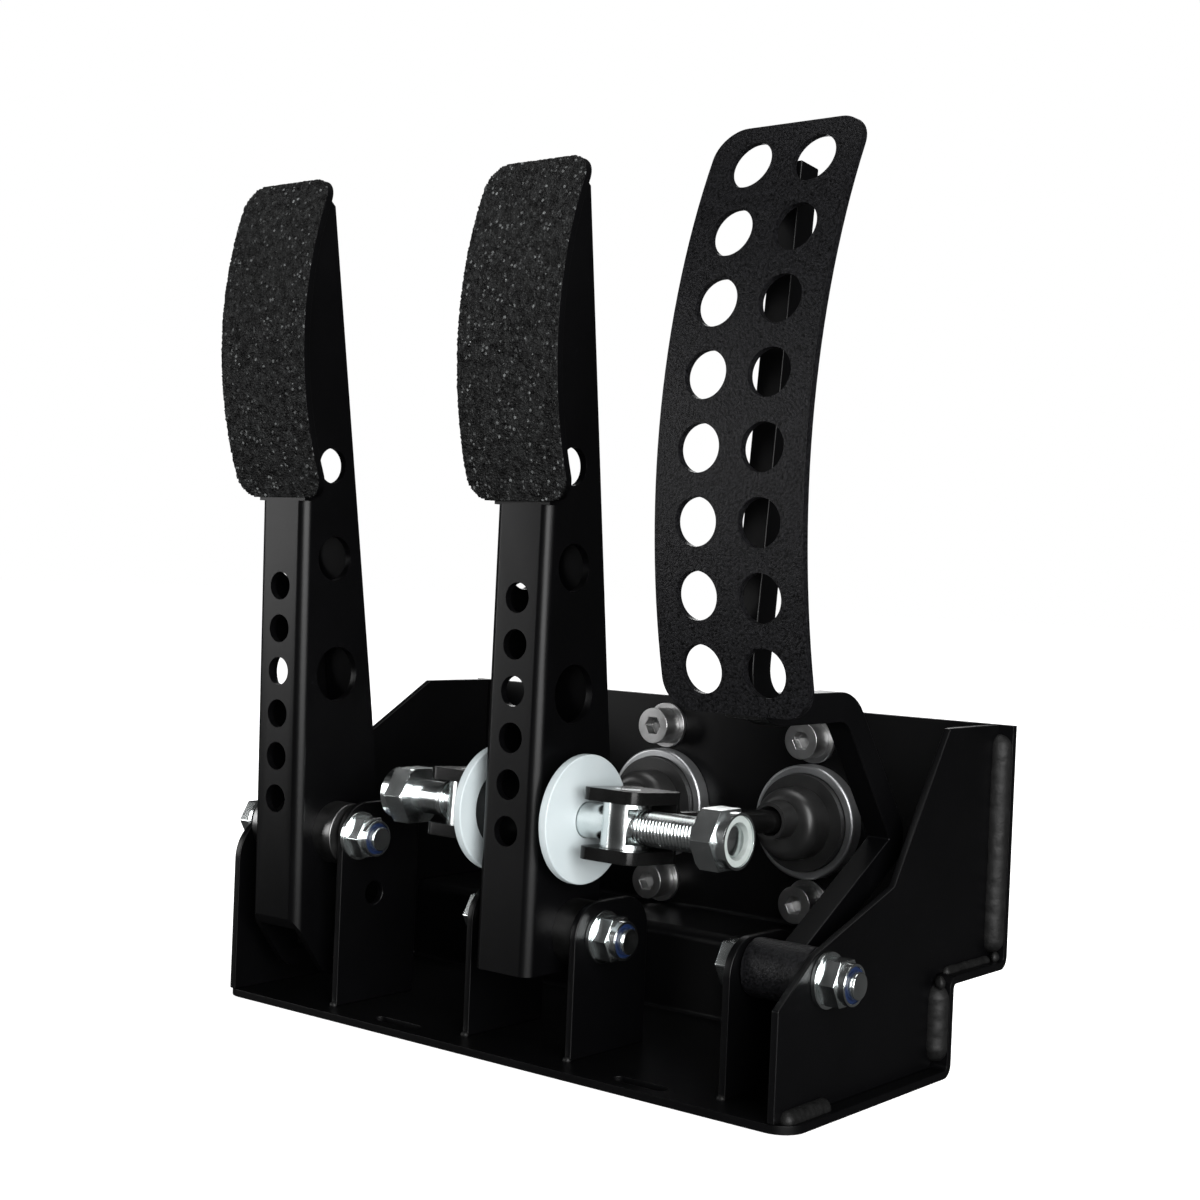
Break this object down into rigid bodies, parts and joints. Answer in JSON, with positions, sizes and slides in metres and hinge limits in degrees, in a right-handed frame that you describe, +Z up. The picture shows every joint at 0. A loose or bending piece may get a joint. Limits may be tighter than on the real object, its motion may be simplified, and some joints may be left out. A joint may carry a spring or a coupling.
{
  "type": "pedal box",
  "caption": "Floor-mounted racing pedal box with cable clutch, balance-bar brake on master cylinders and a drilled throttle pedal",
  "frame": {"origin": "midway between the two rear floor bolts, on the floor's underside and on the brake pedal's centre plane", "axes": "+X to the driver's right, +Y away from the driver to the bulkhead, +Z up"},
  "size_m": [0.2451, 0.2631, 0.282],
  "materials": {
    "black_coat": "satin powder coat",
    "grit": "coarse grit sheet",
    "zinc_steel": "bright zinc plate",
    "cast_alloy": "bead blasted",
    "white_nylon": "turned nylon",
    "blue_nylon": "nylon ring",
    "boot_rubber": "moulded rubber",
    "black_oxide": "black oxide"
  },
  "bodies": {
    "frame": {"base_sheet": "black_coat", "left_side_plate": "black_coat", "right_side_plate": "black_coat", "clutch_bracket": "black_coat", "brake_bracket_left": "black_coat", "brake_bracket_right": "black_coat", "throttle_bracket": "black_coat", "clutch_pivot_bolt": "zinc_steel", "brake_pivot_bolt": "zinc_steel", "throttle_pivot_bolt": "zinc_steel", "pivot_washers": "zinc_steel", "pivot_nuts": "zinc_steel", "pivot_nut_inserts": "blue_nylon", "cylinder_left": "cast_alloy", "cylinder_right": "cast_alloy", "boot_collar_left": "cast_alloy", "boot_collar_right": "cast_alloy", "boot_left": "boot_rubber", "boot_right": "boot_rubber", "cylinder_screws": "zinc_steel", "cylinder_washers": "zinc_steel", "cylinder_nuts": "zinc_steel"},
    "clutch_pedal": {"clutch_arm": "black_coat", "clutch_arm_back": "black_coat", "clutch_pad": "black_coat", "clutch_grip": "grit", "clutch_pivot_sleeve": "black_coat"},
    "brake_pedal": {"brake_arm": "black_coat", "brake_arm_back": "black_coat", "brake_pad": "black_coat", "brake_grip": "grit", "brake_pivot_sleeve": "black_coat", "balance_tube": "black_coat", "balance_bearing": "zinc_steel", "nylon_disc_left": "white_nylon", "nylon_disc_right": "white_nylon"},
    "bias_bar": {"balance_bar": "zinc_steel", "balance_ring": "zinc_steel", "balance_nuts": "zinc_steel", "balance_nut_inserts": "white_nylon"},
    "pushrod_assy_left": {"trunnion_left": "zinc_steel", "clevis_left": "black_oxide", "pushrod_left": "black_oxide", "clevis_locknuts_left": "black_oxide"},
    "pushrod_assy_right": {"trunnion_right": "zinc_steel", "clevis_right": "black_oxide", "pushrod_right": "black_oxide", "clevis_locknuts_right": "black_oxide"},
    "piston_body_left": {"piston_left": "cast_alloy"},
    "piston_body_right": {"piston_right": "cast_alloy"},
    "throttle_pedal": {"throttle_arm": "black_coat", "throttle_pad": "black_coat", "throttle_pivot_tube": "black_coat"}
  },
  "joints": [
    {"name": "clutch_hinge", "type": "hinge", "parent": "frame", "child": "clutch_pedal", "pos_m": [-0.1, -0.055, 0.06], "axis": [-1, 0, 0], "range_deg": [0, 20]},
    {"name": "brake_hinge", "type": "hinge", "parent": "frame", "child": "brake_pedal", "pos_m": [0, -0.046, 0.0395], "axis": [-1, 0, 0], "range_deg": [0, 18]},
    {"name": "throttle_hinge", "type": "hinge", "parent": "frame", "child": "throttle_pedal", "pos_m": [0.09075, -0.046, 0.0395], "axis": [-1, 0, 0], "range_deg": [0, 20]},
    {"name": "bias_turn", "type": "hinge", "parent": "brake_pedal", "child": "bias_bar", "pos_m": [0, -0.051, 0.076], "axis": [1, 0, 0], "range_deg": [-180, 180]},
    {"name": "pushrod_left_hinge", "type": "hinge", "parent": "brake_pedal", "child": "pushrod_assy_left", "pos_m": [-0.03, -0.051, 0.076], "axis": [-1, 0, 0], "range_deg": [-20, 2]},
    {"name": "pushrod_right_hinge", "type": "hinge", "parent": "brake_pedal", "child": "pushrod_assy_right", "pos_m": [0.034, -0.051, 0.076], "axis": [-1, 0, 0], "range_deg": [-20, 2]},
    {"name": "piston_left_slide", "type": "slide", "parent": "frame", "child": "piston_body_left", "axis": [0, 1, 0], "range_m": [-0.0005, 0.013]},
    {"name": "piston_right_slide", "type": "slide", "parent": "frame", "child": "piston_body_right", "axis": [0, 1, 0], "range_m": [-0.0005, 0.013]}
  ],
  "couplings": [
    {"joint": "pushrod_left_hinge", "follows": "brake_hinge", "ratio": -1},
    {"joint": "pushrod_right_hinge", "follows": "brake_hinge", "ratio": -1},
    {"joint": "piston_left_slide", "follows": "brake_hinge", "m_per_rad": 0.03668},
    {"joint": "piston_right_slide", "follows": "brake_hinge", "m_per_rad": 0.03668}
  ]
}
